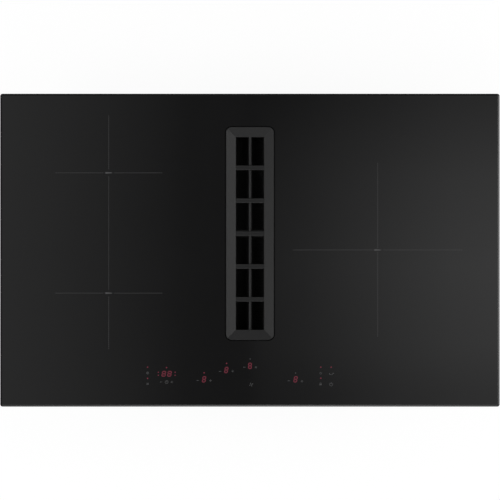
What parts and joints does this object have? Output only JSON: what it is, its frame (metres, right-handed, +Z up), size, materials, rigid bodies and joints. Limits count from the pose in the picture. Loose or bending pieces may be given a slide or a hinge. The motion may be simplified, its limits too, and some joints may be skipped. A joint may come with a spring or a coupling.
{
  "type": "downdraft induction cooktop",
  "caption": "Black glass induction cooktop with dotted zone marks, touch controls and a long sunken extractor grille along its middle, over a blower housing.",
  "frame": {"origin": "on the ground plane under the middle of the glass, at the height of the extractor housing's lowest ribs", "axes": "+X to the right, +Y away from the user, +Z up"},
  "size_m": [0.83, 0.52, 0.212],
  "materials": {
    "glass": "black glass ceramic, polished, opaque, ground bevel",
    "cast_black": "satin anthracite enamel on cast metal",
    "foam": "closed-cell foam tape",
    "silicone": "matt silicone",
    "black_moulding": "black moulded plastic, fine texture",
    "grey_moulding": "dark grey moulded plastic, fine texture",
    "galvanised_steel": "galvanised sheet, faint spangle",
    "black_sheet": "pressed steel sheet, matt black powder coating",
    "stainless": "brushed stainless steel",
    "filter_mesh": "black anodised expanded mesh in a pressed frame",
    "aluminium": "mill-finish aluminium",
    "litz_copper": "enamelled litz wire",
    "mica": "pressed mica paper",
    "circuit_board": "green lacquered circuit board",
    "terminal_ceramic": "white ceramic",
    "motor_steel": "grey lacquered steel",
    "zinc_steel": "zinc-plated steel"
  },
  "bodies": {
    "root": {"glass_top": "glass", "rim_seal": "foam", "well_seal": "silicone", "well_liner": "black_moulding", "touch_board_carrier": "black_moulding", "inlet_ring": "black_moulding", "terminal_box": "black_moulding", "terminal_cover": "black_moulding", "cable_gland": "black_moulding", "fan_driver_box": "black_moulding", "coil_former_front_left": "black_moulding", "coil_former_rear_left": "black_moulding", "coil_former_right": "black_moulding", "cooling_fan_frame_left": "black_moulding", "cooling_fan_frame_right": "black_moulding", "plenum_tub": "grey_moulding", "fan_casing": "grey_moulding", "scroll_wall": "grey_moulding", "casing_lid": "grey_moulding", "duct_spigot": "grey_moulding", "base_pan": "galvanised_steel", "coil_sensor_front_left": "stainless", "coil_sensor_rear_left": "stainless", "coil_sensor_right": "stainless", "coil_plate_left": "aluminium", "coil_plate_right": "aluminium", "heat_sink_left": "aluminium", "heat_sink_right": "aluminium", "coil_winding_front_left": "litz_copper", "coil_winding_rear_left": "litz_copper", "coil_winding_right": "litz_copper", "mica_sheet_front_left": "mica", "mica_sheet_rear_left": "mica", "mica_sheet_right": "mica", "power_board_left": "circuit_board", "power_board_right": "circuit_board", "mains_filter_board": "circuit_board", "touch_board": "circuit_board", "terminal_block": "terminal_ceramic", "fan_motor": "motor_steel", "clamp_screw_front_left": "zinc_steel", "clamp_screw_front_right": "zinc_steel", "clamp_screw_rear_left": "zinc_steel", "clamp_screw_rear_right": "zinc_steel"},
    "filter_unit": {"filter_frame": "black_sheet", "grease_filter_left": "filter_mesh", "grease_filter_right": "filter_mesh"},
    "grille": {"inlet_grille": "cast_black"},
    "impeller": {"fan_impeller": "black_moulding", "impeller_shaft": "zinc_steel"},
    "cooling_rotor_left": {"cooling_fan_rotor_left": "black_moulding"},
    "cooling_rotor_right": {"cooling_fan_rotor_right": "black_moulding"},
    "drip_tray_unit": {"drip_tray": "grey_moulding", "drip_tray_seal": "silicone"},
    "clamp_front_left": {"clamp_arm_front_left": "zinc_steel"},
    "clamp_front_right": {"clamp_arm_front_right": "zinc_steel"},
    "clamp_rear_left": {"clamp_arm_rear_left": "zinc_steel"},
    "clamp_rear_right": {"clamp_arm_rear_right": "zinc_steel"}
  },
  "joints": [
    {"name": "filter_lift", "type": "slide", "parent": "root", "child": "filter_unit", "axis": [0, 0, 1], "range_m": [0, 0.14]},
    {"name": "grille_lift", "type": "slide", "parent": "filter_unit", "child": "grille", "axis": [0, 0, 1], "range_m": [0, 0.06]},
    {"name": "impeller_spin", "type": "hinge", "parent": "root", "child": "impeller", "pos_m": [0.19, 0.005, 0.1], "axis": [0, 0, 1], "continuous": true},
    {"name": "cooling_fan_left_spin", "type": "hinge", "parent": "root", "child": "cooling_rotor_left", "pos_m": [-0.24, -0.192, 0.16], "axis": [0, 0, 1], "continuous": true},
    {"name": "cooling_fan_right_spin", "type": "hinge", "parent": "root", "child": "cooling_rotor_right", "pos_m": [0.24, -0.192, 0.16], "axis": [0, 0, 1], "continuous": true},
    {"name": "drip_tray_drop", "type": "slide", "parent": "root", "child": "drip_tray_unit", "axis": [0, 0, -1], "range_m": [0, 0.06]},
    {"name": "clamp_front_left_swing", "type": "hinge", "parent": "root", "child": "clamp_front_left", "pos_m": [-0.397, -0.15, 0.1627], "axis": [0, 0, 1], "range_deg": [0, 90]},
    {"name": "clamp_front_right_swing", "type": "hinge", "parent": "root", "child": "clamp_front_right", "pos_m": [0.397, -0.15, 0.1627], "axis": [0, 0, -1], "range_deg": [0, 90]},
    {"name": "clamp_rear_left_swing", "type": "hinge", "parent": "root", "child": "clamp_rear_left", "pos_m": [-0.397, 0.15, 0.1627], "axis": [0, 0, -1], "range_deg": [0, 90]},
    {"name": "clamp_rear_right_swing", "type": "hinge", "parent": "root", "child": "clamp_rear_right", "pos_m": [0.397, 0.15, 0.1627], "axis": [0, 0, 1], "range_deg": [0, 90]}
  ]
}
